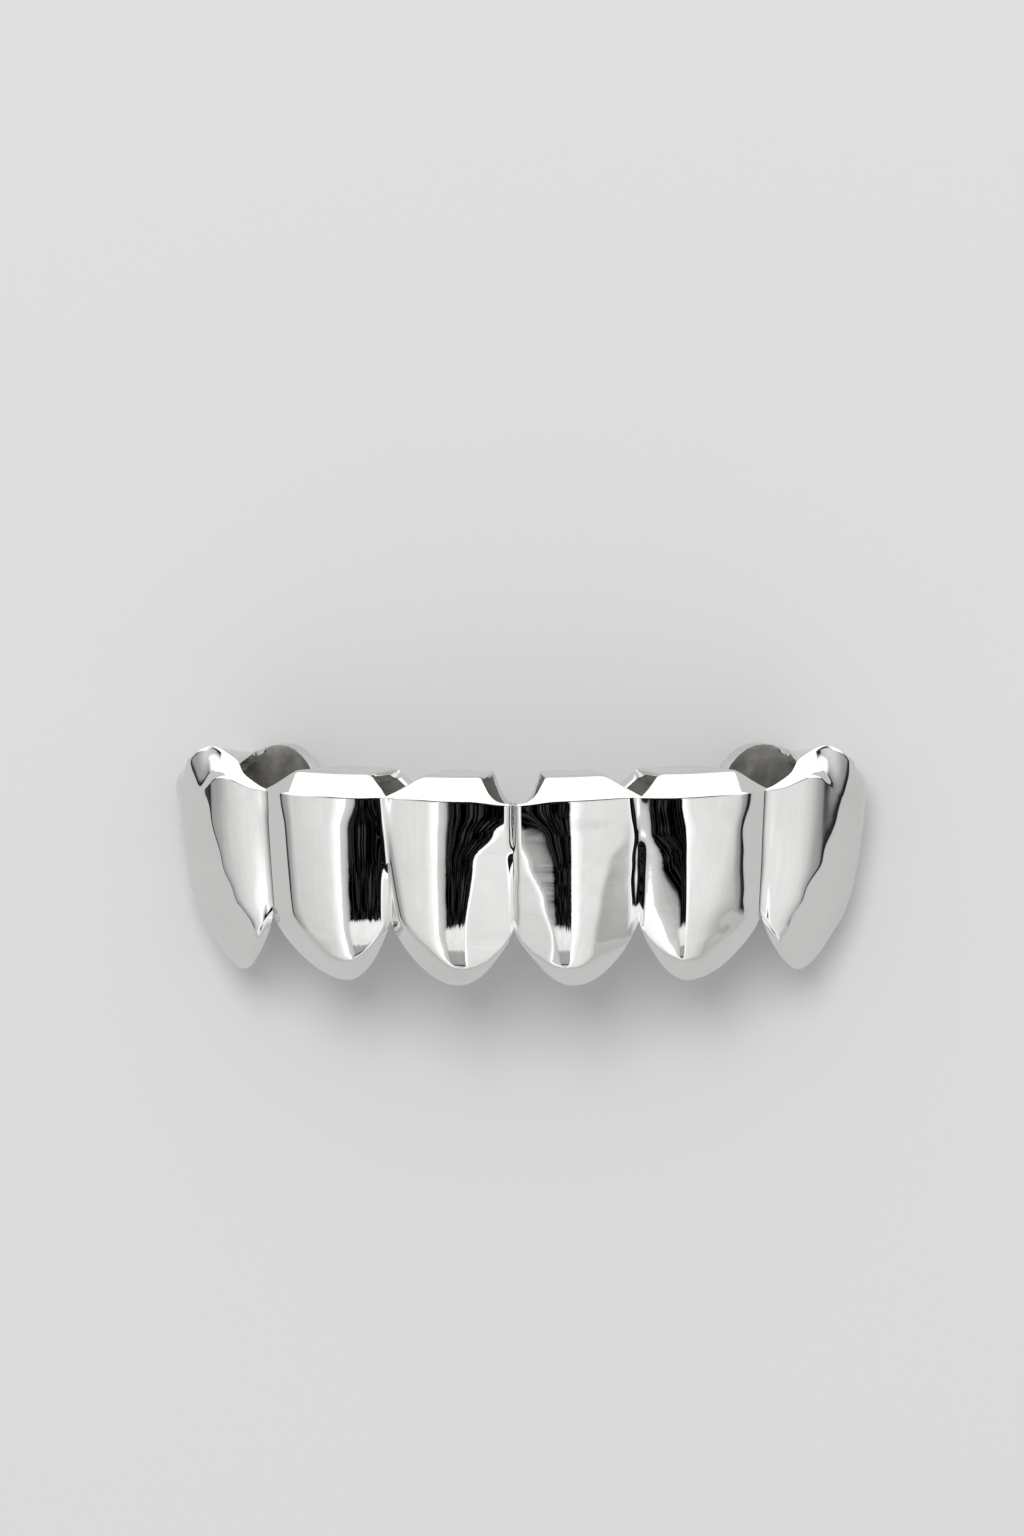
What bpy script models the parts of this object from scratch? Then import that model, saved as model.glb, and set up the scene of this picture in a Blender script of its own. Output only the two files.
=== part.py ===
"""Six-tooth lower grillz, a cast metal tooth bar lying on its back.

Metres, +Z up.  X runs along the row of teeth, +Y is the biting edge and
-Y the gum side, and the polished front faces look up.  The origin is under
the middle of the bar, on the surface that it lies on.
"""
import math

import bpy
import bmesh
from mathutils import Vector

# the row of teeth, from the middle outwards
CENTRAL_WIDTH = 0.00705     # front width of a central incisor cap
LATERAL_WIDTH = 0.00732     # front width of a lateral incisor cap
CANINE_WIDTH = 0.00690      # front width of a canine cap, to its far corner
CENTRAL_TURN = 6.0          # degrees that each front is turned from the middle
LATERAL_TURN = 24.0
CANINE_TURN = 44.0

# heights above the gum tips
EDGE_HEIGHT = 0.01190       # incisor biting edge
CANINE_RISE = 0.00090       # how far the canine cusp stands over that edge
CANINE_SADDLE = 0.00020     # dip of the canine's edge beside its cusp
BEVEL_HEIGHT = 0.00125      # height of the polished bevel under the edge
BEVEL_DEPTH = 0.00125       # how far that bevel leans back
BACK_BEVEL_DEPTH = 0.00060
NOTCH_REST = 0.00020        # metal left between bevel foot and notch floor
CENTRE_NOTCH = 0.00025      # how much deeper the middle notch of the edge is
MIDDLE_GUM = 0.00345        # the scallops between the gum tips, at the middle
LATERAL_GUM = 0.00380       # and at the two seams beside it
CANINE_GUM = 0.00370
END_GUM = 0.00330           # gum edge at the canine's outer corner
BACK_GUM = 0.00420          # gum edge of the back wall
BACK_SCALLOP = 0.00040

# depth of the caps, front to back, at the gum
CENTRAL_DEPTH = 0.00705
LATERAL_DEPTH = 0.00705
CANINE_DEPTH = 0.00690
END_DEPTH = 0.00460         # the canine's outer end, which the bar lies on
END_TURN = 42.0             # degrees that the end wall is turned
WALL = 0.00060              # sheet thickness of the casting

# modelling of the fronts
CENTRAL_CROWN = 0.00045     # swell of each front over its chord
LATERAL_CROWN = 0.00050
CANINE_CROWN = 0.00105
SEAM_DEPTH = 0.00085        # depth of the groove between two fronts
SEAM_REACH = 0.00150        # how far that groove rounds over each front
LEAN_HEIGHT = 0.00430       # height of the fullest part of the fronts
FRONT_LEAN = 9.0            # degrees that the fronts lean back above it
BACK_LEAN = 17.5            # degrees that the back wall leans forward
TIP_SETBACK = 0.00085       # how far the gum tips curve back
END_SWELL = 0.00080         # rounding of the canine's outer end
END_BOW = 0.00030           # how far that end is fuller at half height
BACK_ARCH = 0.00045         # how far the canine's back arch stands over the edge
GUM_TAPER = 0.055           # share by which the row's ends draw in at the gum
LEAN_TURN = 0.10            # share of a seam's heading that the lean follows
REST_FLAT = 0.00020         # worn flat that the bar lies on

FRONT_COLUMNS = 14          # columns of faces across one tooth
END_COLUMNS = 6             # columns round the canine's outer end
WALL_ROWS = 10
BEVEL_ROWS = 2
ROOF_ROWS = 2

COLOUR = (0.78, 0.78, 0.77, 1.0)

# shares of a cap's width where its flat top starts and stops
FRONT_TOP = ((0.23, 0.74), (0.14, 0.77), (0.28, 1.0))
BACK_TOP = ((0.22, 0.75), (0.16, 0.78), (0.86, 1.0))


def lerp(a, b, t):
    return a + (b - a) * t


def ramp(t):
    t = min(max(t, 0.0), 1.0)
    return t * t * (3.0 - 2.0 * t)


def fall(t):
    """0 at the edge of a front, 1 where its rounding has ended."""
    t = min(max(t, 0.0), 1.0)
    return 1.0 - (1.0 - t) ** 2.2


def turned(degrees):
    a = math.radians(degrees)
    return Vector((math.sin(a), 0.0, math.cos(a)))


WIDTHS = (CENTRAL_WIDTH, LATERAL_WIDTH, CANINE_WIDTH)
TURNS = (CENTRAL_TURN, LATERAL_TURN, CANINE_TURN)
CROWNS = (CENTRAL_CROWN, LATERAL_CROWN, CANINE_CROWN)
GUMS = (MIDDLE_GUM, LATERAL_GUM, CANINE_GUM, END_GUM)
# outward heading at the middle seam, the two others and the far corner
HEADINGS = (
    0.0,
    0.5 * (CENTRAL_TURN + LATERAL_TURN),
    0.5 * (LATERAL_TURN + CANINE_TURN),
    CANINE_TURN + 34.0,
)
# outward heading of the back wall at the same places
BACK_HEADINGS = (
    180.0,
    180.0 + HEADINGS[1],
    180.0 + HEADINGS[2],
    180.0 + CANINE_TURN - 18.0,
)


def front_seams():
    """Where the fronts meet, in plan."""
    spots = [Vector((0.0, 0.0, 0.0))]
    for width, turn in zip(WIDTHS, TURNS):
        a = math.radians(turn)
        spots.append(spots[-1] + Vector((math.cos(a), 0.0, -math.sin(a))) * width)
    return spots


FRONT = front_seams()
BACK = [
    FRONT[0] - turned(HEADINGS[0]) * CENTRAL_DEPTH,
    FRONT[1] - turned(HEADINGS[1]) * 0.5 * (CENTRAL_DEPTH + LATERAL_DEPTH),
    FRONT[2] - turned(HEADINGS[2]) * 0.5 * (LATERAL_DEPTH + CANINE_DEPTH),
    FRONT[3] - turned(END_TURN) * END_DEPTH,
]


def gum_line(tooth, s):
    """Height of the front's gum edge: a notch at each seam, a tip between."""
    peak = (0.47, 0.44, 0.46)[tooth]
    t = s / peak if s < peak else (1.0 - s) / (1.0 - peak)
    notch = GUMS[tooth] if s < peak else GUMS[tooth + 1]
    return notch * (1.0 - math.sin(0.5 * math.pi * min(t, 1.0)) ** 0.80)


def top_line(tooth, s, first, last, back):
    """Height of the upper edge: a notch at each seam, flat between."""
    top = EDGE_HEIGHT
    floor = foot_line(tooth, round(s), back) + NOTCH_REST
    if tooth == 2:
        if back:
            # the canine's back wall is a free arch
            arch = math.sin(math.pi * min(s / 0.94, 1.0)) ** 0.7
            foot = floor if s < 0.47 else EDGE_HEIGHT - 0.4 * BEVEL_HEIGHT
            return lerp(foot, EDGE_HEIGHT + BACK_ARCH, arch)
        cusp = math.exp(-((s - 0.66) / 0.16) ** 2)
        end = ramp((s - 0.72) / 0.28)
        top = EDGE_HEIGHT - CANINE_SADDLE + (CANINE_RISE + CANINE_SADDLE) * cusp
        top -= 0.45 * BEVEL_HEIGHT * end
    power = 1.7 if tooth == 0 and s < 0.5 else 1.15
    if s < first:
        return lerp(floor, top, (s / first) ** power)
    if s > last:
        return lerp(floor, top, ((1.0 - s) / (1.0 - last)) ** 1.15)
    return top


def foot_line(tooth, s, back):
    """Height where the upright wall turns into the bevel."""
    height = EDGE_HEIGHT - BEVEL_HEIGHT
    if tooth == 0:
        height -= CENTRE_NOTCH * ramp(1.0 - s / 0.35)
    if back:
        return height
    if tooth == 2:
        rise = math.exp(-((s - 0.34) / 0.17) ** 2) * ramp(s / 0.2)
        drop = ramp((s - 0.45) / 0.30)
        height += 0.45 * BEVEL_HEIGHT * rise - 0.65 * BEVEL_HEIGHT * drop
    return height


def lean(y):
    """How far the front stands back from its fullest height."""
    if y > LEAN_HEIGHT:
        return -math.tan(math.radians(FRONT_LEAN)) * (y - LEAN_HEIGHT)
    return -TIP_SETBACK * ((LEAN_HEIGHT - y) / LEAN_HEIGHT) ** 2


# the lean dies out towards the canine's outer end
LEANS = (
    lambda s: 1.0,
    lambda s: lerp(1.0, 0.9, s),
    lambda s: lerp(0.9, 0.1, s),
)


def swell(tooth, s, y):
    """How far a front stands out from its chord."""
    width = WIDTHS[tooth]
    near = fall(s * width / SEAM_REACH)
    far = 1.0 if tooth == 2 else fall((1.0 - s) * width / SEAM_REACH)
    gum = fall((y - gum_line(tooth, s)) / SEAM_REACH)
    crown = 1.0 - abs(2.0 * s - 1.0) ** 2.2
    stand = SEAM_DEPTH * near * far * lerp(0.35, 1.0, gum) + CROWNS[tooth] * crown
    if tooth == 2:
        stand += END_BOW * ramp((s - 0.4) / 0.6) * math.sin(math.pi * min(max(y / EDGE_HEIGHT, 0.0), 1.0))
    return stand


def shares(first, last):
    """Columns across one cap, with some kept for the notch at each side."""
    a = 3
    c = 3 if last < 1.0 else 0
    b = FRONT_COLUMNS - a - c
    out = [first * i / a for i in range(a)]
    out += [lerp(first, last, i / b) for i in range(b)]
    out += [lerp(last, 1.0, i / c) for i in range(c)] if c else []
    return out + [1.0]


def column(tooth, s, back, first, last):
    """One upright section: from the gum edge to the top of the bevel."""
    fade = 1.0 - s if tooth == 2 else 1.0
    if back:
        foot_spot = BACK[tooth].lerp(BACK[tooth + 1], s)
        heading = lerp(BACK_HEADINGS[tooth], BACK_HEADINGS[tooth + 1], s)
        gum = BACK_GUM + BACK_SCALLOP * math.cos(2.0 * math.pi * s)
        bow = 0.35 * CROWNS[tooth] * math.sin(math.pi * s)
    else:
        foot_spot = FRONT[tooth].lerp(FRONT[tooth + 1], s)
        heading = lerp(HEADINGS[tooth], HEADINGS[tooth + 1], s)
        gum = gum_line(tooth, s)
        bow = 0.0
    out = turned(heading)
    foot = foot_line(tooth, s, back)
    rim = top_line(tooth, s, first, last, back)
    points = []
    for row in range(WALL_ROWS + 1):
        y = lerp(gum, foot, row / WALL_ROWS)
        if back:
            stand = bow - math.tan(math.radians(BACK_LEAN)) * (y - BACK_GUM) * fade
            points.append(foot_spot + out * stand + Vector((0.0, y, 0.0)))
        else:
            tilt = turned(heading * LEAN_TURN) * lean(y) * LEANS[tooth](s)
            points.append(foot_spot + out * swell(tooth, s, y) + tilt + Vector((0.0, y, 0.0)))
    if back and tooth == 2 and s < BACK_TOP[2][0]:
        deep = 0.15 * BACK_BEVEL_DEPTH
    else:
        deep = BACK_BEVEL_DEPTH if back else BEVEL_DEPTH
    full = EDGE_HEIGHT - foot
    deep = deep * min((rim - foot) / full, 1.0)
    for row in range(1, BEVEL_ROWS + 1):
        t = row / BEVEL_ROWS
        spot = points[WALL_ROWS] + Vector((0.0, (rim - foot) * t, 0.0)) - out * deep * t
        points.append(spot)
    return points


def end_column(t):
    """One upright section round the canine's outer end."""
    start = column(2, 1.0, False, *FRONT_TOP[2])
    stop = column(2, 1.0, True, *BACK_TOP[2])
    heading = lerp(HEADINGS[3], BACK_HEADINGS[3], t)
    out = turned(heading)
    lift = math.sin(math.pi * t) * END_SWELL
    points = []
    for row, (a, b) in enumerate(zip(start, stop)):
        share = 1.0
        if row > WALL_ROWS:
            share = 1.0 - 0.7 * (row - WALL_ROWS) / BEVEL_ROWS
        points.append(a.lerp(b, t) + out * lift * share)
    return points


def half_ring():
    """Columns from the middle seam, round the outer end, back to the middle."""
    ring = []
    for tooth in range(3):
        first, last = FRONT_TOP[tooth]
        for s in shares(first, last)[:-1]:
            ring.append(column(tooth, s, False, first, last))
    for step in range(END_COLUMNS):
        ring.append(end_column(step / END_COLUMNS))
    for tooth in (2, 1, 0):
        first, last = BACK_TOP[tooth]
        for s in reversed(shares(first, last)[1:]):
            ring.append(column(tooth, s, True, first, last))
    first, last = BACK_TOP[0]
    ring.append(column(0, 0.0, True, first, last))
    return ring


def narrowed(p):
    out = abs(p.x) / FRONT[3].x
    share = 1.0 - GUM_TAPER * out * (1.0 - p.y / EDGE_HEIGHT)
    return Vector((p.x * share, p.y, p.z))


def build_shell():
    ring = [[narrowed(p) for p in points] for points in half_ring()]
    bm = bmesh.new()
    grid = [[bm.verts.new(p) for p in points] for points in ring]
    rows = WALL_ROWS + BEVEL_ROWS
    for left, right in zip(grid, grid[1:]):
        for row in range(rows):
            bm.faces.new((left[row], right[row], right[row + 1], left[row + 1]))
    # the flat tops, each a strip from the front columns to the back ones
    count = len(ring)
    for tooth in range(3):
        a = 3
        b = FRONT_COLUMNS if tooth == 2 else FRONT_COLUMNS - 3
        tops = []
        for col in range(a, b + 1):
            i = tooth * FRONT_COLUMNS + col
            j = count - 1 - i
            front, back = grid[i][rows], grid[j][rows]
            line = [front]
            if tooth == 2 and col == FRONT_COLUMNS:
                line += [grid[i + k][rows] for k in range(1, END_COLUMNS)]
            else:
                parts = END_COLUMNS if tooth == 2 else ROOF_ROWS
                for k in range(1, parts):
                    line.append(bm.verts.new(front.co.lerp(back.co, k / parts)))
            tops.append(line + [back])
        for one, two in zip(tops, tops[1:]):
            for k in range(len(one) - 1):
                bm.faces.new((one[k], two[k], two[k + 1], one[k + 1]))
    bmesh.ops.recalc_face_normals(bm, faces=bm.faces[:])
    return bm


def clear_scene():
    for obj in list(bpy.data.objects):
        bpy.data.objects.remove(obj, do_unlink=True)


def metal():
    mat = bpy.data.materials.new("polished_silver")
    mat.use_nodes = True
    shader = mat.node_tree.nodes["Principled BSDF"]
    shader.inputs["Base Color"].default_value = COLOUR
    shader.inputs["Metallic"].default_value = 1.0
    shader.inputs["Roughness"].default_value = 0.08
    return mat


def main():
    clear_scene()
    group = bpy.data.collections.new("grillz_lower_six")
    bpy.context.scene.collection.children.link(group)
    bm = build_shell()
    # lay the bar on the surface: its lowest wall is cut flat there
    low = min(v.co.z for v in bm.verts) + REST_FLAT
    middle = 0.5 * (min(v.co.y for v in bm.verts) + max(v.co.y for v in bm.verts))
    for v in bm.verts:
        v.co.z = max(v.co.z - low, 0.0)
        v.co.y -= middle
    mesh = bpy.data.meshes.new("tooth_bar")
    bm.to_mesh(mesh)
    bm.free()
    mesh.shade_smooth()
    bar = bpy.data.objects.new("tooth_bar", mesh)
    group.objects.link(bar)
    mesh.materials.append(metal())
    mirror = bar.modifiers.new("other_half", "MIRROR")
    mirror.use_axis = (True, False, False)
    mirror.use_clip = True
    mirror.merge_threshold = 0.00001
    skin = bar.modifiers.new("wall", "SOLIDIFY")
    skin.thickness = WALL
    skin.offset = -1.0
    skin.use_even_offset = True
    skin.use_quality_normals = True


main()
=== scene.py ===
import math

import bmesh
import bpy
from mathutils import Matrix, Vector


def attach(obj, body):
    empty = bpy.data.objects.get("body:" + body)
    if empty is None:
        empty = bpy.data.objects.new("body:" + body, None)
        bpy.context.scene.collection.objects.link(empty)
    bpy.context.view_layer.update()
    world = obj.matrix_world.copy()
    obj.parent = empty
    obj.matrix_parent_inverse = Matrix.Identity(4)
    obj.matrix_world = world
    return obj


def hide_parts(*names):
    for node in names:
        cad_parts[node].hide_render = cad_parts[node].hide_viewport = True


# A six-tooth lower grillz lying on its back: X runs along the row, +Y is the biting edge,
# -Y the gum side, and the polished fronts look up.  Lengths in the dictionaries are in mm.

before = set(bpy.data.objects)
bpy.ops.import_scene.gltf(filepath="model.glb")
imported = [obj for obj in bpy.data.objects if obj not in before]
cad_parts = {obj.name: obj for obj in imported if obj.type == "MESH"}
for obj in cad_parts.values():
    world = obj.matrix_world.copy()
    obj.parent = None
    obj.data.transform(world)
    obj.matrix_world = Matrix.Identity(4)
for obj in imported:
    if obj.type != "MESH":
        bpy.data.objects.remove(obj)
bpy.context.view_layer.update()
mm = 0.001


def lerp(a, b, t):
    return a + (b - a) * t


def ramp(t):
    t = min(max(t, 0.0), 1.0)
    return t * t * (3.0 - 2.0 * t)


def turned(degrees):
    a = math.radians(degrees)
    return Vector((math.sin(a), 0.0, math.cos(a)))


def softMin(a, b, r):
    h = max(r - abs(a - b), 0.0) / r
    return min(a, b) - h * h * r * 0.25


def between(stops, values, x):
    if x <= stops[0]:
        return values[0]
    for k in range(1, len(stops)):
        if x <= stops[k]:
            return lerp(values[k - 1], values[k], ramp((x - stops[k - 1]) / (stops[k] - stops[k - 1])))
    return values[-1]


# the whole bar, its values from the middle outwards: central, lateral, canine
barForm = {
    "widths": (7.05, 7.32, 6.90),
    "turns": (6.0, 24.0, 44.0),          # degrees each front is turned from the middle
    "headings": (0.0, 15.0, 34.0, 78.0),         # outward heading at the seams and far corner
    "backHeadings": (180.0, 195.0, 214.0, 206.0),
    "depths": (7.05, 7.05, 6.975),
    "endDepth": 4.60,
    "endTurn": 42.0,
    "endSwell": 0.80,
    "endEase": 0.70,                     # how much of the swell is gone at the rim
    "endBow": (0.30, 0.40, 0.60),        # height, share where it starts, share it takes
    "edgeHeight": 11.90,
    "bevelHeight": 1.25,
    "bevelDepth": 1.00,
    "bevelStretch": 1.6,                 # a bevel gets at most this much deeper where it's taller
    "notchRest": 0.08,
    "centreNotch": 0.25,
    "centreReach": 0.35,                 # share of the central tooth
    "cornerRound": 0.30,
    "cornerPowers": (3.2, 1.15, 1.15),   # bend of the inner corner of each flat top
    "outerPower": 1.15,                  # and of its outer corner
    "frontTop": ((0.245, 0.74), (0.14, 0.77), (0.28, 1.0)),      # flat tops, as shares across
    "gums": (3.45, 3.80, 3.70, 3.30),
    "gumPeaks": (0.47, 0.44, 0.50),
    "gumPower": 0.80,
    "gumTaper": 0.055,
    "seamRounds": (0.16, 0.10),          # where a face meets its flank, and the flank its foot
    "seamLip": (0.25, 0.10),             # depth, share across
    "noFoot": -1.0,                      # depth that stands for no seam under the face
    "swingReach": (0.20, 0.20, 0.45),    # share over which the outer side turns to the seam
    "innerReach": 0.20,                  # and the same on the inner side
    "leanTurn": 0.10,                    # share of the heading that the lean turns with
    "layDown": (-6.395, 11.726),         # from the drawing of the teeth to the table
    "tableGap": 0.005,                   # keeps the rounded rims clear of the table
    "wall": 0.60,
}

# the back wall of the bar
backForm = {
    "bevelDepth": 0.60,
    "centreNotch": 1.15,
    "drop": 0.32,
    "gum": 4.20,
    "scallop": 0.40,
    "lean": 17.5,
    "bow": 0.35,                         # share of the crown
    "crowns": (0.45, 0.50, 1.05),
    "top": ((0.22, 0.75), (0.16, 0.78), (0.86, 1.0)),
    "arch": (0.45, 0.94, 0.70),          # behind the canine: rise, share where it ends, power
    "archFoot": 0.40,                    # bevel heights below the edge
    "canineBevel": (0.15, 0.74, 0.16),   # share of the depth, where it grows, over what share
}

# the canine's edge: a triple is a height, the share across where it sits and its spread
canineForm = {
    "rise": 0.88,
    "saddle": 0.20,
    "cusp": (0.54, 0.23),                # share across, spread
    "drop": (0.35, 0.62, 0.30),          # drop, swell and sink are in bevel heights
    "swell": (0.45, 0.34, 0.17),
    "swellStart": 0.20,
    "sink": (0.65, 0.45, 0.30),
    "bevel": (0.55, 1.85, 0.30, 0.15),   # seat, growth across, from where, least depth
    "bevelStart": (0.20, 0.15),
    "shoulder": (0.75, 0.72, 0.28),      # depth, share across, spread
    "bend": (2.4, 0.50, 0.45),           # power, share across, spread
}

# how the polished fronts stand.  Each row is a height above the gum tips, the share across where
# the front's depth is fixed, that depth, and pairs of a share across and the tilt there, in degrees
# from straight up, outward positive.  The flanks' slopes and feet are at the inner seam, the gum
# tip and the outer seam; feetTop has the feet of both seams at the biting edge.
frontForm = {
    (-1, 0): {
        "rows": (
            (0.0, 0.50, 1.17, ((0, -19), (0.06, -19), (0.30, -20), (0.35, -12), (0.50, 6), (0.56, 12),
                               (0.64, 20), (0.80, 26), (1, 28))),
            (3.3, 0.50, 1.17, ((0, -19), (0.06, -19), (0.34, -20), (0.37, -10), (0.51, 6), (0.58, 12),
                               (0.66, 20), (0.88, 26), (1, 28))),
            (7.4, 0.50, 1.17, ((0, -19), (0.06, -19), (0.26, -20), (0.30, -11), (0.51, 6), (0.58, 12),
                               (0.66, 20), (0.90, 26), (1, 28))),
            (8.8, 0.50, 1.17, ((0, -18), (0.05, -18), (0.10, -18), (0.16, -10), (0.51, 6), (0.58, 12),
                               (0.66, 20), (0.90, 26), (1, 28))),
            (9.8, 0.50, 1.17, ((0, -9), (0.04, -9), (0.08, -8), (0.12, -7), (0.50, 6), (0.57, 12),
                               (0.66, 20), (0.90, 26), (1, 28))),
        ),
        "flanks": (76.0, 44.0, 42.0), "feet": (-0.20, -0.10, -0.20), "feetTop": (0.35, 0.50),
    },
    (1, 0): {
        "rows": (
            (0.0, 0.16, 0.655, ((0, -24), (0.20, -26), (0.24, -7), (0.36, -7), (0.40, 4), (0.45, 12),
                                (0.55, 16), (0.62, 24), (0.65, 36), (1, 34))),
            (3.0, 0.16, 0.48, ((0, -24), (0.28, -26), (0.30, -7), (0.34, -6.6), (0.36, -3), (0.44, 12),
                               (0.52, 16), (0.61, 24), (0.64, 36), (1, 34))),
            (5.2, 0.16, 0.72, ((0, -24), (0.20, -24), (0.23, -7.4), (0.32, -6.6), (0.34, -4),
                               (0.44, 12), (0.52, 16), (0.66, 24), (0.69, 36), (1, 33))),
            (7.2, 0.16, 0.87, ((0, -22), (0.09, -22), (0.12, -7.6), (0.31, -6.7), (0.33, -4),
                               (0.44, 12), (0.52, 16), (0.72, 24), (0.76, 36), (1, 32))),
            (8.7, 0.16, 0.90, ((0, -18), (0.02, -16), (0.04, -7.4), (0.24, -6.7), (0.28, -4),
                               (0.44, 12), (0.52, 16), (0.86, 26), (0.90, 34), (1, 31))),
            (10.2, 0.16, 0.96, ((0, -4), (0.02, -4), (0.04, -4), (0.10, -4), (0.14, -3), (0.44, 12),
                                (0.52, 16), (0.90, 26), (0.95, 28), (1, 29))),
        ),
        "flanks": (76.0, 44.0, 42.0), "feet": (-0.20, -0.10, -0.20), "feetTop": (0.35, 0.50),
    },
    (-1, 1): {
        "rows": (
            (0.0, 0.30, 1.15, ((0, -12), (0.10, -8), (0.275, 6), (0.33, 12), (0.42, 22), (0.60, 27),
                               (1, 30))),
            (4.8, 0.30, 1.22, ((0, -14), (0.08, -9), (0.275, 6), (0.33, 12), (0.42, 22), (0.72, 28),
                               (1, 32))),
            (9.0, 0.30, 1.22, ((0, -14), (0.08, -9), (0.27, 6), (0.33, 12), (0.44, 22), (0.76, 29),
                               (1, 34))),
            (10.4, 0.30, 1.22, ((0, -18), (0.12, -10), (0.20, 6), (0.28, 12), (0.42, 22), (0.76, 29),
                                (1, 34))),
        ),
        "flanks": (76.0, 44.0, 25.0), "feet": (-0.20, -0.10, 0.48), "feetTop": (0.50, 0.62),
    },
    (1, 1): {
        "rows": (
            (0.0, 0.30, 1.20, ((0, -16), (0.14, -15), (0.20, -12), (0.27, -9), (0.31, 14), (0.42, 24),
                               (0.46, 30), (0.60, 34), (1, 36))),
            (3.0, 0.30, 1.28, ((0, -16), (0.16, -14), (0.20, -10), (0.285, -8), (0.31, 14), (0.44, 24),
                               (0.50, 30), (0.60, 34), (1, 36))),
            (5.0, 0.30, 1.28, ((0, -14), (0.10, -13), (0.12, -10), (0.29, -7), (0.31, 14), (0.54, 24),
                               (0.60, 29), (0.70, 33), (1, 34))),
            (7.4, 0.30, 1.28, ((0, -13), (0.09, -13), (0.12, -9), (0.29, 2), (0.31, 14), (0.60, 24),
                               (0.66, 29), (0.76, 34), (1, 34))),
            (8.8, 0.30, 1.28, ((0, -12), (0.05, -12), (0.07, -5), (0.29, 9), (0.32, 14), (0.62, 24),
                               (0.72, 29), (0.82, 35), (1, 34))),
            (10.3, 0.30, 1.28, ((0, -12), (0.04, -10), (0.06, -5), (0.25, 9), (0.30, 15), (0.52, 24),
                                (0.76, 29), (0.86, 35), (1, 34))),
        ),
        "flanks": (76.0, 44.0, 25.0), "feet": (-0.20, -0.10, 0.48), "feetTop": (0.50, 0.62),
    },
    (-1, 2): {
        "rows": (
            (1.5, 0.12, 1.05, ((0, 17), (0.02, 17), (0.03, 19), (0.05, 24), (0.08, 32), (0.10, 42),
                               (0.12, 52), (1, 57))),
            (2.95, 0.16, 1.25, ((0, 8), (0.03, 9), (0.06, 16), (0.09, 24), (0.12, 32), (0.14, 42),
                                (0.16, 52), (1, 58))),
            (4.66, 0.33, 1.50, ((0, 8), (0.09, 10), (0.13, 18), (0.20, 24), (0.29, 31), (0.31, 42),
                                (0.33, 52), (1, 61))),
            (6.4, 0.43, 1.65, ((0, 9), (0.03, 10), (0.12, 17), (0.22, 24), (0.39, 32), (0.41, 42),
                               (0.43, 52), (1, 68))),
            (8.9, 0.53, 1.70, ((0, 17), (0.03, 16), (0.14, 18), (0.24, 24), (0.46, 36), (0.50, 43),
                               (0.53, 52), (1, 72))),
            (10.2, 0.60, 1.70, ((0, 17), (0.03, 16), (0.14, 19), (0.24, 25), (0.44, 37), (0.50, 43),
                                (0.60, 50), (1, 72))),
        ),
        "flanks": (78.0, 42.0, 40.0), "feet": (0.48, 0.95, 0.80), "feetTop": (0.62, 0.85),
    },
    (1, 2): {
        "rows": (
            (1.5, 0.14, 1.05, ((0, 17), (0.02, 17), (0.04, 18), (0.06, 24), (0.10, 30), (0.12, 42),
                               (0.14, 52), (1, 57))),
            (2.95, 0.24, 1.25, ((0, 17), (0.03, 17), (0.08, 18), (0.14, 24), (0.20, 30), (0.22, 42),
                                (0.24, 52), (1, 59))),
            (4.66, 0.36, 1.50, ((0, 17), (0.03, 17), (0.10, 18), (0.22, 24), (0.32, 33), (0.34, 42),
                                (0.36, 52), (1, 62))),
            (6.4, 0.52, 1.65, ((0, 17), (0.03, 17), (0.12, 18), (0.26, 24), (0.44, 39), (0.48, 43),
                               (0.52, 50), (1, 72))),
            (8.9, 0.58, 1.70, ((0, 17), (0.03, 17), (0.14, 19), (0.28, 26), (0.44, 39), (0.46, 43),
                               (0.58, 47), (1, 76))),
            (10.2, 0.62, 1.70, ((0, 17), (0.03, 17), (0.14, 19), (0.28, 26), (0.44, 39), (0.46, 43),
                                (0.62, 47), (1, 78))),
        ),
        "flanks": (78.0, 42.0, 40.0), "feet": (0.48, 0.95, 0.80), "feetTop": (0.62, 0.85),
    },
}

# the fronts' lean along the tooth, the same for all
leanForm = {
    "heights": (0.0, 1.0, 2.3, 3.4, 5.5, 8.0, 10.65),
    "tilts": (-30.0, -26.0, -20.6, -6.0, 2.0, 8.0, 9.5),
    "start": 3.4,
    "fades": ((1.0, 1.0), (1.0, 0.9), (0.9, 0.1)),
    "canineFade": (0.50, 1.00),          # where the canine's lean fades out
    "steps": 24,
    "reach": 12.0,
    "slots": 120,
}

meshForm = {
    "wallRows": 46,
    "bevelRows": 10,
    "columns": ((8, 24, 8), (6, 28, 6), (8, 32, 0)),   # before, under and after each flat top
    "endColumns": 14,
    "roofRows": 8,
    "outlineSteps": 40,
    "crowding": 1.15,                    # rows get closer towards the biting edge
    "weld": 0.002,
    "rimRound": 0.07,
    "rimAngle": 62.0,
    "rimSegments": 2,
}


def frontSeams():
    spots = [Vector((0.0, 0.0, 0.0))]
    for width, turn in zip(barForm["widths"], barForm["turns"]):
        a = math.radians(turn)
        spots.append(spots[-1] + Vector((math.cos(a), 0.0, -math.sin(a))) * width)
    return spots


frontSpots = frontSeams()
backSpots = [frontSpots[k] - turned(barForm["headings"][k]) * barForm["depths"][k] for k in range(3)]
backSpots.append(frontSpots[3] - turned(barForm["endTurn"]) * barForm["endDepth"])


def topShares(tooth, back):
    return backForm["top"][tooth] if back else barForm["frontTop"][tooth]


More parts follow.
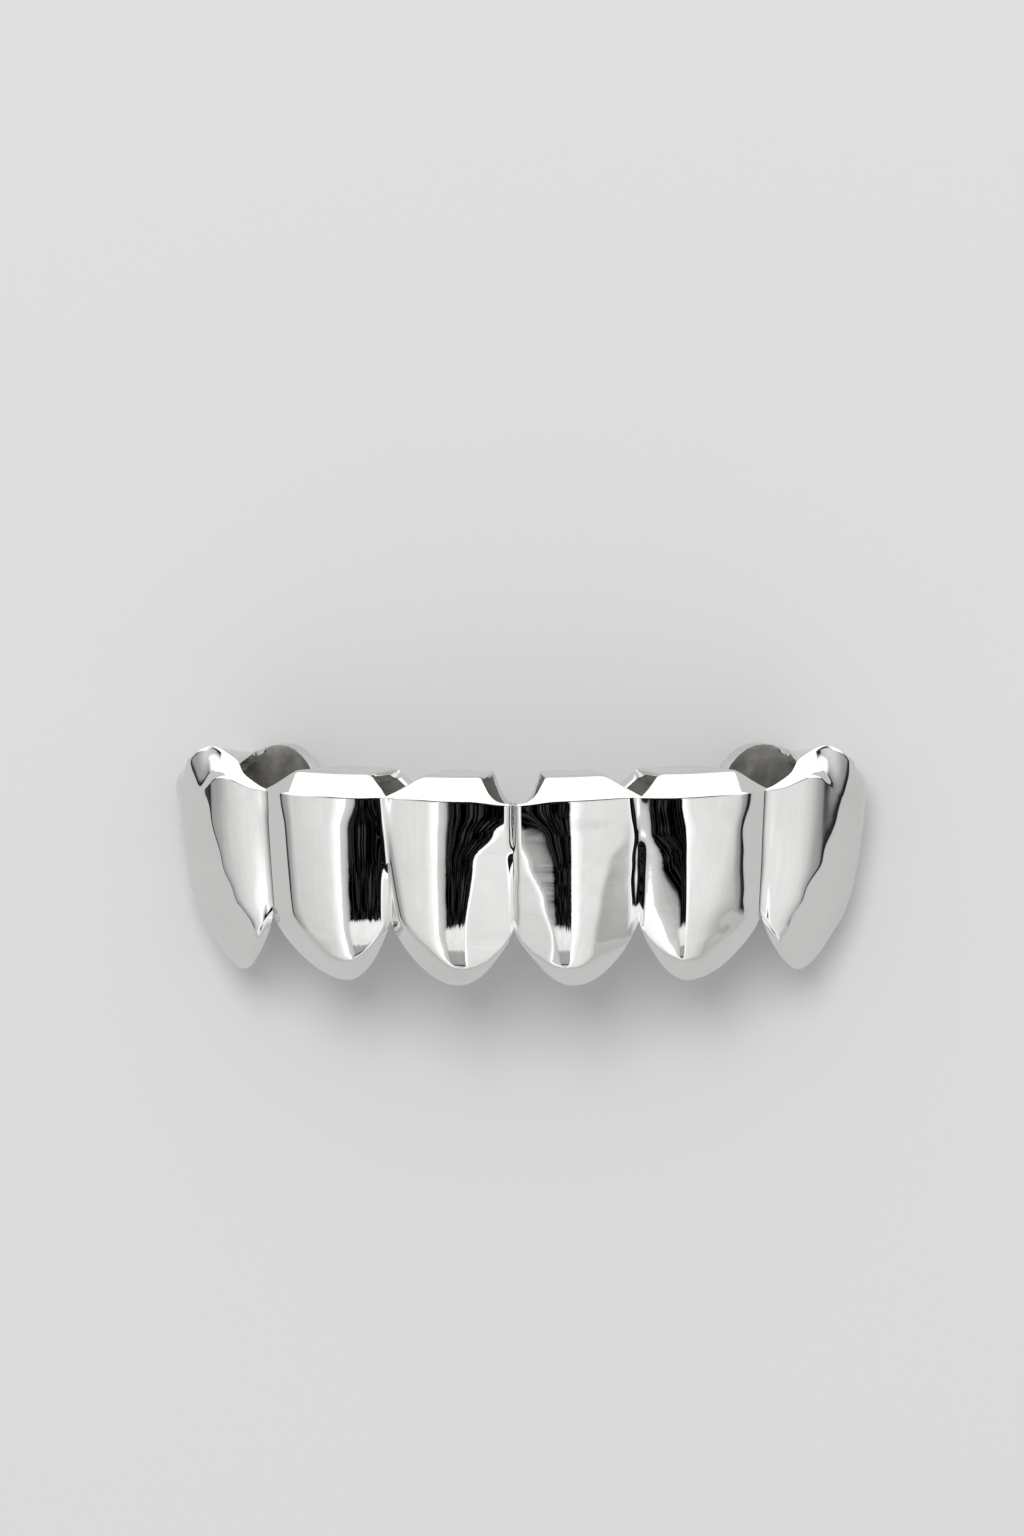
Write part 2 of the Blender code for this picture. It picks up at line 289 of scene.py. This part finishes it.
def gumLine(tooth, s):
    peak = barForm["gumPeaks"][tooth]
    t = s / peak if s < peak else (1.0 - s) / (1.0 - peak)
    notch = barForm["gums"][tooth] if s < peak else barForm["gums"][tooth + 1]
    return notch * (1.0 - math.sin(0.5 * math.pi * min(max(t, 0.0), 1.0)) ** barForm["gumPower"])


# where the bevel starts
def footLine(tooth, s, back):
    bevel = barForm["bevelHeight"]
    height = barForm["edgeHeight"] - bevel
    if tooth == 0:
        notch = backForm["centreNotch"] if back else barForm["centreNotch"]
        height -= notch * ramp(1.0 - s / barForm["centreReach"])
    if tooth == 2 and not back:
        swell, place, spread = canineForm["swell"]
        sink, start, reach = canineForm["sink"]
        rise = math.exp(-((s - place) / spread) ** 2) * ramp(s / canineForm["swellStart"])
        height += swell * bevel * rise - sink * bevel * ramp((s - start) / reach)
    return height


# where the bevel ends, at the flat tops, the cusps and the notches
def topLine(tooth, s, back):
    first, last = topShares(tooth, back)
    edge, bevel = barForm["edgeHeight"], barForm["bevelHeight"]
    along = s if tooth < 2 else 0.0
    floor = lerp(footLine(tooth, 0.0, back), footLine(tooth, 1.0, back), along) + barForm["notchRest"]
    top = edge - (backForm["drop"] if back else 0.0)
    if tooth == 2 and back:              # a free arch behind the canine
        height, end, power = backForm["arch"]
        arch = math.sin(math.pi * min(s / end, 1.0)) ** power
        foot = floor if s < end / 2 else edge - backForm["archFoot"] * bevel
        return lerp(foot, edge + height, arch)
    if tooth == 2:
        place, spread = canineForm["cusp"]
        drop, start, reach = canineForm["drop"]
        cusp = math.exp(-((s - place) / spread) ** 2)
        top = edge - canineForm["saddle"] + (canineForm["rise"] + canineForm["saddle"]) * cusp
        top -= drop * bevel * ramp((s - start) / reach)
    full, soft = top - floor, barForm["cornerRound"]
    rise = softMin(full * (s / first) ** barForm["cornerPowers"][tooth], full, soft)
    if last < 1.0:
        rise = softMin(full * ((1.0 - s) / (1.0 - last)) ** barForm["outerPower"], rise, soft)
    return floor + max(rise, 0.0)


def leanAt(y):
    start, steps = leanForm["start"], leanForm["steps"]
    total = 0.0
    for k in range(steps):
        tilt = between(leanForm["heights"], leanForm["tilts"], lerp(start, y, (k + 0.5) / steps))
        total -= math.tan(math.radians(tilt)) * (y - start) / steps
    return total


# worked out once, because every column of the mesh asks for it
leanTable = [leanAt(leanForm["reach"] * k / leanForm["slots"]) for k in range(leanForm["slots"] + 1)]


def leaning(y):
    k = max(y, 0.0) * (leanForm["slots"] / leanForm["reach"])
    slot = min(int(k), leanForm["slots"] - 1)
    return lerp(leanTable[slot], leanTable[slot + 1], k - slot)


# depth gained up to s by a front whose tilt changes evenly from stop to stop
def tiltArea(stops, tilts, turn, s):
    total = 0.0
    for k in range(1, len(stops)):
        if s <= stops[k - 1]:
            break
        a, b = stops[k - 1], stops[k]
        ta, tb = math.radians(tilts[k - 1] - turn), math.radians(tilts[k] - turn)
        end = min(s, b)
        te = lerp(ta, tb, (end - a) / (b - a))
        if abs(te - ta) < 1e-5:          # the same tilt all along
            total += math.tan(ta) * (end - a)
        else:
            total -= math.log(abs(math.cos(te) / math.cos(ta))) * (end - a) / (te - ta)
    return total


def faceDepth(side, tooth, s, y):
    heights, spots, crests, pairs = zip(*frontForm[side, tooth]["rows"])
    stops = [between(heights, [pair[0] for pair in same], y) for same in zip(*pairs)]
    tilts = [between(heights, [pair[1] for pair in same], y) for same in zip(*pairs)]
    turn = barForm["turns"][tooth]
    spot, crest = between(heights, spots, y), between(heights, crests, y)
    area = tiltArea(stops, tilts, turn, s) - tiltArea(stops, tilts, turn, spot)
    return crest - area * barForm["widths"][tooth]


def threeWay(values, s, peak):
    if s < peak:
        return lerp(values[0], values[1], ramp(s / peak))
    return lerp(values[1], values[2], ramp((s - peak) / (1.0 - peak)))


# the edge of a front, with the flank's slope and foot at each point
def outline(side, tooth):
    form, width, peak = frontForm[side, tooth], barForm["widths"][tooth], barForm["gumPeaks"][tooth]
    slopes, feet, tops = form["flanks"], form["feet"], form["feetTop"]
    top = barForm["edgeHeight"]
    points = [(0.0, top, slopes[0], tops[0])]
    count = meshForm["outlineSteps"]
    for k in range(count + 1):
        s = k / count
        points.append((s * width, gumLine(tooth, s), threeWay(slopes, s, peak), threeWay(feet, s, peak)))
    if tooth < 2:
        points.append((width, top, slopes[2], tops[1]))
    return points


outlines = {key: outline(*key) for key in frontForm}


def flankDepth(side, tooth, s, y):
    x = s * barForm["widths"][tooth]
    depths = []
    points = outlines[side, tooth]
    for (ax, ay, slope, low), (bx, by, slopeB, lowB) in zip(points, points[1:]):
        dx, dy = bx - ax, by - ay
        t = min(max(((x - ax) * dx + (y - ay) * dy) / (dx * dx + dy * dy), 0.0), 1.0)
        gap = math.hypot(x - ax - dx * t, y - ay - dy * t)
        depths.append(lerp(low, lowB, t) + math.tan(math.radians(lerp(slope, slopeB, t))) * gap)
    return min(depths)


# how deep a seam's foot lies, low and high being the gum side and the biting edge
def seamFoot(side, tooth, s, share):
    low, high = (0, 0) if s < 0.5 else (2, 1)
    return lerp(frontForm[side, tooth]["feet"][low], frontForm[side, tooth]["feetTop"][high], share)


def footAt(side, tooth, s, y):
    notch = barForm["gums"][tooth] if s < 0.5 else barForm["gums"][tooth + 1]
    share = (y - notch) / (barForm["edgeHeight"] - notch)
    if share < 0.0 or tooth == 2 and s >= 0.5:
        return barForm["noFoot"]
    lip, reach = barForm["seamLip"]
    return seamFoot(side, tooth, s, share) - lip * ramp(min(s, 1.0 - s) / reach)


def standing(side, tooth, s, y):
    faceRound, footRound = barForm["seamRounds"]
    stand = softMin(faceDepth(side, tooth, s, y), flankDepth(side, tooth, s, y), faceRound)
    foot = footAt(side, tooth, s, y)
    atSeam = s in (0.0, 1.0) and not (tooth == 2 and s > 0.5)
    stand = foot if atSeam else -softMin(-stand, -foot, footRound)
    if tooth == 2:
        bow, start, reach = barForm["endBow"]
        share = min(max(y / barForm["edgeHeight"], 0.0), 1.0)
        stand += bow * ramp((s - start) / reach) * math.sin(math.pi * share)
    return stand


wallStops = [1.0 - (1.0 - k / meshForm["wallRows"]) ** meshForm["crowding"]
             for k in range(meshForm["wallRows"] + 1)]


def lifted(y):
    return Vector((0.0, y, 0.0))


def backWall(tooth, s, foot):
    spot = backSpots[tooth].lerp(backSpots[tooth + 1], s)
    out = turned(lerp(barForm["backHeadings"][tooth], barForm["backHeadings"][tooth + 1], s))
    gum = backForm["gum"] + backForm["scallop"] * math.cos(2.0 * math.pi * s)
    bow = backForm["bow"] * backForm["crowns"][tooth] * math.sin(math.pi * s)
    fade = 1.0 - s if tooth == 2 else 1.0
    points = []
    for share in wallStops:
        y = lerp(gum, foot, share)
        stand = bow - math.tan(math.radians(backForm["lean"])) * (y - backForm["gum"]) * fade
        points.append(spot + out * stand + lifted(y))
    deep = backForm["bevelDepth"]
    if tooth == 2:
        least, start, reach = backForm["canineBevel"]
        deep = deep * lerp(least, 1.0, ramp((s - start) / reach))
    return points, out, deep


def frontWall(side, tooth, s, foot):
    spot = frontSpots[tooth].lerp(frontSpots[tooth + 1], s)
    heading = lerp(barForm["headings"][tooth], barForm["headings"][tooth + 1], s)
    out, own = turned(heading), turned(barForm["turns"][tooth])
    gum = gumLine(tooth, s)
    reach = barForm["swingReach"][tooth]
    swing = (out - own) * max(1.0 - ramp(s / barForm["innerReach"]), ramp((s - 1.0 + reach) / reach))
    start, stop = leanForm["canineFade"]
    fade = ramp((s - start) / (stop - start)) if tooth == 2 else s
    tilt = turned(heading * barForm["leanTurn"]) * lerp(*leanForm["fades"][tooth], fade)
    points = []
    for share in wallStops:
        y = lerp(gum, foot, share)
        stand = standing(side, tooth, s, y)
        seat = stand if tooth == 2 and s > 0.5 else seamFoot(side, tooth, s, (y - gum) / (foot - gum))
        points.append(spot + own * stand + swing * seat + tilt * leaning(y) + lifted(y))
    return points, out, own + swing


# the canine's bevel is rounded, and faces up more than the wall under it
def canineBevel(side, s, foot, deep):
    seat, rise, start, least = canineForm["bevel"]
    goal = max(standing(side, 2, s, foot) - seat - rise * (s - start), least)
    start, reach = canineForm["bevelStart"]
    deep = lerp(deep, goal, ramp((s - start) / reach))
    shoulder, start, reach = canineForm["shoulder"]
    deep = lerp(deep, shoulder, ramp((s - start) / reach))
    power, start, reach = canineForm["bend"]
    return deep, lerp(1.0, power, ramp((s - start) / reach))


# one line of points from the gum edge up the wall and over the bevel to the rim
def column(side, tooth, s, back):
    foot, rim = footLine(tooth, s, back), topLine(tooth, s, back)
    bend = 1.0
    if back:
        points, out, deep = backWall(tooth, s, foot)
        deep = deep * min((rim - foot) / (barForm["edgeHeight"] - foot), 1.0)
    else:
        points, out, swung = frontWall(side, tooth, s, foot)
        deep = barForm["bevelDepth"] * min((rim - foot) / barForm["bevelHeight"], barForm["bevelStretch"])
        if tooth == 2:
            deep, bend = canineBevel(side, s, foot, deep)
            out = swung.normalized()
    base = points[-1]
    for k in range(1, meshForm["bevelRows"] + 1):
        t = k / meshForm["bevelRows"]
        points.append(base + lifted((rim - foot) * t) - out * deep * t ** bend)
    return points


def endColumn(side, t):
    start, stop = column(side, 2, 1.0, False), column(side, 2, 1.0, True)
    out = turned(lerp(barForm["headings"][3], barForm["backHeadings"][3], t))
    lift = math.sin(math.pi * t) * barForm["endSwell"]
    wall, bevel = meshForm["wallRows"], meshForm["bevelRows"]
    points = []
    for k, (a, b) in enumerate(zip(start, stop)):
        share = 1.0 if k <= wall else 1.0 - barForm["endEase"] * (k - wall) / bevel
        points.append(a.lerp(b, t) + out * lift * share)
    return points


# from the drawing of one half to its own side of the table, in metres
def laid(side, p):
    out = abs(p.x) / frontSpots[3].x
    share = 1.0 - barForm["gumTaper"] * out * (1.0 - p.y / barForm["edgeHeight"])
    y, z = p.y + barForm["layDown"][0], p.z + barForm["layDown"][1]
    return Vector((side * (p.x * share), y, max(z, barForm["tableGap"]))) * mm


def toothShares(tooth, back):
    first, last = topShares(tooth, back)
    before, under, after = meshForm["columns"][tooth]
    shares = [first * k / before for k in range(before)]
    shares += [lerp(first, last, k / under) for k in range(under)]
    shares += [lerp(last, 1.0, k / after) for k in range(after)]
    return shares + [1.0]


# the columns of one half, out along the fronts and back behind
def halfRing(side):
    ring = []
    for tooth in range(3):
        ring += [column(side, tooth, s, False) for s in toothShares(tooth, False)[:-1]]
    for k in range(meshForm["endColumns"]):
        ring.append(endColumn(side, k / meshForm["endColumns"]))
    for tooth in (2, 1, 0):
        ring += [column(side, tooth, s, True) for s in reversed(toothShares(tooth, True)[1:])]
    ring.append(column(side, 0, 0.0, True))
    return [[laid(side, p) for p in points] for points in ring]


# a grid of the right size is made first, and each of its corners goes to its spot
def gridOnto(bm, spots):
    across, up = len(spots), len(spots[0])
    made = bmesh.ops.create_grid(bm, x_segments=across - 1, y_segments=up - 1, size=0.5)["verts"]
    for v in made:
        v.co = spots[round((v.co.x + 0.5) * (across - 1))][round((v.co.y + 0.5) * (up - 1))]


# the flat top of a tooth, or the canine's cusp, from the front rim to the back one
def roofSpots(ring, tooth):
    before, under, after = meshForm["columns"][tooth]
    start = sum(sum(meshForm["columns"][k]) for k in range(tooth))
    strips = []
    for col in range(before, before + under + 1):
        i = start + col
        j = len(ring) - 1 - i
        front, back = ring[i][-1], ring[j][-1]
        rows = meshForm["roofRows"] if tooth < 2 else meshForm["endColumns"]
        strip = [front.lerp(back, k / rows) for k in range(rows + 1)]
        if tooth == 2 and col == before + under:
            strip = [ring[i + k][-1] for k in range(rows + 1)]
        strips.append(strip)
    return strips


def objectFrom(bm, name):
    mesh = bpy.data.meshes.new(name)
    bm.to_mesh(mesh)
    bm.free()
    thing = bpy.data.objects.new(name, mesh)
    bpy.context.collection.objects.link(thing)
    return thing


def makeBar():
    bm = bmesh.new()
    for side in (-1, 1):
        ring = halfRing(side)
        gridOnto(bm, ring)
        for tooth in range(3):
            gridOnto(bm, roofSpots(ring, tooth))
    bmesh.ops.remove_doubles(bm, verts=bm.verts[:], dist=meshForm["weld"] * mm)
    bmesh.ops.recalc_face_normals(bm, faces=bm.faces[:])
    caps = objectFrom(bm, "toothCaps")
    caps.data.shade_smooth()
    skin = caps.modifiers.new("castWall", "SOLIDIFY")
    skin.thickness = barForm["wall"] * mm
    skin.offset = -1.0
    skin.use_even_offset = True
    skin.use_quality_normals = True
    skin.material_offset = 1
    skin.material_offset_rim = 0
    rims = caps.modifiers.new("polishedRims", "BEVEL")
    rims.width = meshForm["rimRound"] * mm
    rims.segments = meshForm["rimSegments"]
    rims.limit_method = "ANGLE"
    rims.angle_limit = math.radians(meshForm["rimAngle"])
    return caps


def newMetal(name, metallic):
    mat = bpy.data.materials.new(name)
    mat.use_nodes = True
    nodes, links = mat.node_tree.nodes, mat.node_tree.links
    shader = nodes["Principled BSDF"]
    shader.inputs["Metallic"].default_value = metallic
    place = nodes.new("ShaderNodeTexCoord").outputs["Object"]
    return mat, nodes, links, shader, place


def noiseOf(nodes, links, place, scale, detail):
    noise = nodes.new("ShaderNodeTexNoise")
    noise.inputs["Scale"].default_value = scale
    noise.inputs["Detail"].default_value = detail
    links.new(place, noise.inputs["Vector"])
    return noise.outputs["Fac"]


def rangeOf(nodes, links, value, low, high, start, stop):
    node = nodes.new("ShaderNodeMapRange")
    for name, number in (("From Min", low), ("From Max", high), ("To Min", start), ("To Max", stop)):
        node.inputs[name].default_value = number
    links.new(value, node.inputs["Value"])
    return node.outputs["Result"]


def mixOf(nodes, links, share, first, second):
    mix = nodes.new("ShaderNodeMix")
    mix.data_type = "RGBA"
    mix.inputs["A"].default_value = first
    mix.inputs["B"].default_value = second
    links.new(share, mix.inputs["Factor"])
    return mix.outputs["Result"]


def bumpOf(nodes, links, height, distance, under=None):
    bump = nodes.new("ShaderNodeBump")
    bump.inputs["Strength"].default_value = 1.0
    bump.inputs["Distance"].default_value = distance
    links.new(height, bump.inputs["Height"])
    if under:
        links.new(under, bump.inputs["Normal"])
    return bump.outputs["Normal"]


# noises are a scale per metre and a detail; ranges go from noise low and high to a share or roughness
silverForm = {
    "metallic": 1.0,
    "colour": (0.73, 0.728, 0.717, 1.0),
    "dull": (0.64, 0.632, 0.613, 1.0),
    "patches": (170.0, 3.0),
    "patchRange": (0.50, 0.75, 0.0, 0.55),
    "lines": (5200.0, 2.0),
    "lineRange": (0.35, 0.70, 0.018, 0.060),
    "lineStretch": (1.0, 0.06, 1.0),
    "waves": (330.0, 1.5),
    "waveHeight": 0.0000045,             # metres
    "grain": (2600.0, 2.0),
    "grainHeight": 0.0000003,
}


def polishedSilver():
    mat, nodes, links, shader, place = newMetal("polishedSilver", silverForm["metallic"])

    # slightly duller patches where it's handled
    patches = noiseOf(nodes, links, place, *silverForm["patches"])
    share = rangeOf(nodes, links, patches, *silverForm["patchRange"])
    colour = mixOf(nodes, links, share, silverForm["colour"], silverForm["dull"])
    links.new(colour, shader.inputs["Base Color"])

    # fine polishing lines, mostly along the teeth
    stretch = nodes.new("ShaderNodeMapping")
    stretch.inputs["Scale"].default_value = silverForm["lineStretch"]
    links.new(place, stretch.inputs["Vector"])
    lines = noiseOf(nodes, links, stretch.outputs["Vector"], *silverForm["lines"])
    links.new(rangeOf(nodes, links, lines, *silverForm["lineRange"]), shader.inputs["Roughness"])

    # soft unevenness of the cast metal under the polish
    waves = noiseOf(nodes, links, place, *silverForm["waves"])
    grain = noiseOf(nodes, links, place, *silverForm["grain"])
    under = bumpOf(nodes, links, waves, silverForm["waveHeight"])
    links.new(bumpOf(nodes, links, grain, silverForm["grainHeight"], under), shader.inputs["Normal"])
    return mat


castForm = {
    "metallic": 0.55,
    "light": (0.47, 0.46, 0.43, 1.0),
    "dark": (0.27, 0.26, 0.235, 1.0),
    "clouds": (900.0, 4.0),
    "cloudHeight": 0.000030,
    "shadeRange": (0.30, 0.70, 0.0, 1.0),
    "roughRange": (0.30, 0.70, 0.42, 0.68),
    "pits": 2300.0,
    "pitHeight": 0.000020,
}


def castInside():
    mat, nodes, links, shader, place = newMetal("castInside", castForm["metallic"])
    clouds = noiseOf(nodes, links, place, *castForm["clouds"])
    share = rangeOf(nodes, links, clouds, *castForm["shadeRange"])
    colour = mixOf(nodes, links, share, castForm["dark"], castForm["light"])
    links.new(colour, shader.inputs["Base Color"])
    links.new(rangeOf(nodes, links, clouds, *castForm["roughRange"]), shader.inputs["Roughness"])
    pits = nodes.new("ShaderNodeTexVoronoi")
    pits.inputs["Scale"].default_value = castForm["pits"]
    links.new(place, pits.inputs["Vector"])
    under = bumpOf(nodes, links, clouds, castForm["cloudHeight"])
    bumps = bumpOf(nodes, links, pits.outputs["Distance"], castForm["pitHeight"], under)
    links.new(bumps, shader.inputs["Normal"])
    return mat


caps = makeBar()
caps.data.materials.append(polishedSilver())
caps.data.materials.append(castInside())
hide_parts("tooth_bar")
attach(caps, "root")
print("caps made")

# the camera, fitted to the seams, notches and tips; its pivot is in metres
cameraForm = {
    "pivot": (0.0, -0.000395, 0.007726),
    "distance": 0.350,
    "pitch": 9.79,
    "yaw": 2.91,
    "roll": -0.51,
    "scale": 17.987,                     # pixels to the millimetre at the pivot
    "spot": (517.0, 872.0),              # where the pivot lands in the picture
    "frame": (1024.0, 1536.0),
    "sensor": 36.0,
}


def makeCamera():
    a, b = math.radians(cameraForm["pitch"]), math.radians(cameraForm["yaw"])
    r = math.radians(cameraForm["roll"])
    away = Vector((math.sin(b) * math.cos(a), math.sin(a), math.cos(b) * math.cos(a)))
    right = Vector((math.cos(b), 0.0, -math.sin(b)))
    up = Vector((-math.sin(b) * math.sin(a), math.cos(a), -math.cos(b) * math.sin(a)))
    right, up = right * math.cos(r) + up * math.sin(r), up * math.cos(r) - right * math.sin(r)
    pivot = Vector(cameraForm["pivot"])
    place = pivot + away * cameraForm["distance"]
    perPixel = mm / cameraForm["scale"]
    offX = (cameraForm["frame"][0] / 2 - cameraForm["spot"][0]) * perPixel
    offY = (cameraForm["spot"][1] - cameraForm["frame"][1] / 2) * perPixel
    target = pivot + right * offX + up * offY
    back = (place - target).normalized()
    right = up.cross(back).normalized()
    up = back.cross(right)
    data = bpy.data.cameras.new("camera")
    focal = cameraForm["scale"] * cameraForm["distance"] / mm
    data.sensor_fit = "AUTO"
    data.sensor_width = cameraForm["sensor"]
    data.lens = cameraForm["sensor"] * focal / cameraForm["frame"][1]
    camera = bpy.data.objects.new("camera", data)
    bpy.context.collection.objects.link(camera)
    turn = Matrix((right, up, back)).transposed()
    camera.matrix_world = Matrix.Translation(place) @ turn.to_4x4()
    bpy.context.scene.camera = camera


makeCamera()
print("camera set")

# the studio: pale floor, key light from the biting-edge side, and the soft boxes the metal mirrors;
# its lengths are in metres
studioForm = {
    "floorSize": 4.0,
    "floorColour": (0.72, 0.72, 0.72, 1.0),
    "floorRough": 0.9,
    "floorShine": 0.1,
    "fillColour": (1.0, 1.0, 1.0, 1.0),
    "fill": 0.64,
    "keyPlace": (-0.05, 0.42, 0.80),
    "keySize": 0.40,
    "keyPower": 3.5,
    "domeRadius": 1.6,
    "domeParts": (48, 24),
}

# unevenness of the soft boxes: clouds per radian across and along and their slice, then how strong
cloudForm = {
    "detail": 3.0,
    "ragAcross": (5.0, 15.0, 1.0, 0.045),        # radians
    "ragAlong": (22.0, 5.0, 4.0, 0.10),
    "light": (4.0, 3.0, 7.0, 0.30),
    "streaks": (60.0, 4.0, 9.0, 0.35),
}

# All the stops below are degrees and a brightness or share.  First the brightness round the row,
# from the left horizon over the top to the right one.
acrossStops = (
    (-90.0, 0.02), (-87.0, 0.02), (-83.5, 0.38), (-72.0, 0.52), (-62.0, 0.82), (-45.0, 1.00),
    (-34.0, 1.40), (-27.5, 1.45), (-26.5, 0.88), (-20.5, 0.72), (-16.5, 0.47), (-15.0, 0.0),
    (21.0, 0.0), (22.0, 1.45), (27.0, 1.40), (31.0, 1.06), (48.0, 0.98), (62.0, 0.80),
    (72.0, 0.52), (81.5, 0.34), (85.5, 0.02), (90.0, 0.02),
)
# where the dark middle is: only there do the low cards between the boxes show
middleStops = ((-90.0, 0.0), (-27.5, 0.0), (-15.0, 1.0), (21.0, 1.0), (23.0, 0.0), (90.0, 0.0))
# brightness along the dark middle and share along the boxes, from the gum side to the biting edge
lowStops = ((-90.0, 0.80), (-72.0, 0.80), (-70.0, 0.08), (-65.0, 0.08), (-62.0, 0.42), (-50.0, 0.48),
            (-48.0, 1.06), (-21.5, 1.15), (-20.5, 0.0), (90.0, 0.0))
highStops = ((-90.0, 1.0), (15.0, 1.0), (22.0, 0.86), (28.0, 0.70), (30.5, 0.02), (36.0, 0.02),
             (39.0, 0.0), (90.0, 0.0))
# a pale horizon on the gum side, and where round the row it shows
horizonStops = ((-90.0, 0.62), (-30.0, 0.62), (-22.0, 0.0), (90.0, 0.0))
rimStops = ((-90.0, 1.0), (-70.0, 1.0), (-60.0, 0.0), (60.0, 0.0), (70.0, 1.0), (90.0, 1.0))
# the two sides keep their light at the biting edge, where corner cards join them
sideStops = ((-90.0, 0.8), (-60.0, 0.8), (-50.0, 0.0), (50.0, 0.0), (60.0, 0.8), (90.0, 0.8))
cornerStops = ((-90.0, 0.0), (16.0, 0.0), (20.0, 1.75), (90.0, 1.75))
# the large card beyond the biting edge
rearStops = ((-90.0, 0.0), (36.0, 0.0), (39.0, 1.50), (90.0, 1.50))


def rampNode(nodes, stops):
    node = nodes.new("ShaderNodeValToRGB")
    parts = node.color_ramp.elements
    while len(parts) > 1:
        parts.remove(parts[-1])
    for k, (angle, value) in enumerate(stops):
        share = (angle + 90.0) / 180.0   # a ramp runs from one horizon to the other
        part = parts[0] if k == 0 else parts.new(share)
        part.position = share
        part.color = (value, value, value, 1.0)
    return node


def domeMaterial():
    mat = bpy.data.materials.new("softBoxes")
    mat.use_nodes = True
    tree = mat.node_tree
    nodes, links = tree.nodes, tree.links
    nodes.clear()

    def maths(kind, *inputs):
        node = nodes.new("ShaderNodeMath")
        node.operation = kind
        for k, value in enumerate(inputs):
            if isinstance(value, float):
                node.inputs[k].default_value = value
            else:
                links.new(value, node.inputs[k])
        return node.outputs[0]

    def greatest(*values):
        total = values[0]
        for value in values[1:]:
            total = maths("MAXIMUM", total, value)
        return total

    def ramped(value, stops):
        node = rampNode(nodes, stops)
        links.new(value, node.inputs["Fac"])
        return node.outputs["Color"]

    def cloud(name):
        x, y, z, strength = cloudForm[name]
        place = nodes.new("ShaderNodeCombineXYZ")
        links.new(maths("MULTIPLY", across, x), place.inputs["X"])
        links.new(maths("MULTIPLY", along, y), place.inputs["Y"])
        place.inputs["Z"].default_value = z
        fac = noiseOf(nodes, links, place.outputs[0], 1.0, cloudForm["detail"])
        return maths("SUBTRACT", fac, 0.5), strength

    spot = nodes.new("ShaderNodeTexCoord")
    unit = nodes.new("ShaderNodeVectorMath")
    unit.operation = "NORMALIZE"
    links.new(spot.outputs["Object"], unit.inputs[0])
    parts = nodes.new("ShaderNodeSeparateXYZ")
    links.new(unit.outputs[0], parts.inputs[0])
    across = maths("ARCTAN2", parts.outputs["X"], parts.outputs["Z"])
    along = maths("ARCSINE", parts.outputs["Y"])

    # the cards' edges are a little ragged
    across = maths("ADD", across, maths("MULTIPLY", *cloud("ragAcross")))
    along = maths("ADD", along, maths("MULTIPLY", *cloud("ragAlong")))
    acrossShare = maths("MULTIPLY_ADD", across, 1.0 / math.pi, 0.5)
    alongShare = maths("MULTIPLY_ADD", along, 1.0 / math.pi, 0.5)
    boxes = ramped(acrossShare, acrossStops)
    sides = ramped(acrossShare, sideStops)
    low = maths("MULTIPLY", ramped(alongShare, lowStops), ramped(acrossShare, middleStops))
    horizon = maths("MULTIPLY", ramped(alongShare, horizonStops), ramped(acrossShare, rimStops))
    corners = maths("MULTIPLY", ramped(alongShare, cornerStops), sides)
    high = greatest(ramped(alongShare, highStops), sides)
    over = maths("MULTIPLY", greatest(boxes, low, horizon), high)
    total = greatest(over, ramped(alongShare, rearStops), corners)

    # cloudy light, and faint streaks in the dark middle
    total = maths("MULTIPLY", total, maths("MULTIPLY_ADD", *cloud("light"), 1.0))
    streaks, strength = cloud("streaks")
    total = maths("ADD", total, maths("MULTIPLY", maths("MAXIMUM", streaks, 0.0), strength))
    glow = nodes.new("ShaderNodeEmission")
    links.new(total, glow.inputs["Color"])
    out = nodes.new("ShaderNodeOutputMaterial")
    links.new(glow.outputs[0], out.inputs["Surface"])
    mat.cycles.emission_sampling = "NONE"
    return mat


def makeFloor():
    bm = bmesh.new()
    bmesh.ops.create_grid(bm, x_segments=1, y_segments=1, size=studioForm["floorSize"] / 2)
    floor = objectFrom(bm, "floor")
    mat = bpy.data.materials.new("paleFloor")
    mat.use_nodes = True
    shader = mat.node_tree.nodes["Principled BSDF"]
    shader.inputs["Base Color"].default_value = studioForm["floorColour"]
    shader.inputs["Roughness"].default_value = studioForm["floorRough"]
    shader.inputs["Specular IOR Level"].default_value = studioForm["floorShine"]
    floor.data.materials.append(mat)
    return floor


# only the metal sees the dome
def makeDome():
    around, up = studioForm["domeParts"]
    bm = bmesh.new()
    bmesh.ops.create_uvsphere(bm, u_segments=around, v_segments=up, radius=studioForm["domeRadius"])
    dome = objectFrom(bm, "dome")
    dome.data.materials.append(domeMaterial())
    dome.visible_camera = False
    dome.visible_diffuse = False
    dome.visible_shadow = False
    dome.visible_transmission = False
    return dome


def makeFill():
    world = bpy.data.worlds.new("room")
    world.use_nodes = True
    background = world.node_tree.nodes["Background"]
    background.inputs["Color"].default_value = studioForm["fillColour"]
    background.inputs["Strength"].default_value = studioForm["fill"]
    world.cycles_visibility.glossy = False
    bpy.context.scene.world = world


def makeKey():
    light = bpy.data.lights.new("key", "AREA")
    light.shape = "DISK"
    light.size = studioForm["keySize"]
    light.energy = studioForm["keyPower"]
    key = bpy.data.objects.new("key", light)
    key.location = studioForm["keyPlace"]
    key.rotation_euler = (-Vector(studioForm["keyPlace"])).to_track_quat("-Z", "Y").to_euler()
    key.visible_glossy = False
    key.visible_camera = False
    bpy.context.collection.objects.link(key)


floor = makeFloor()
dome = makeDome()
makeFill()
makeKey()
bpy.context.scene.view_settings.view_transform = "Standard"
print("studio set")
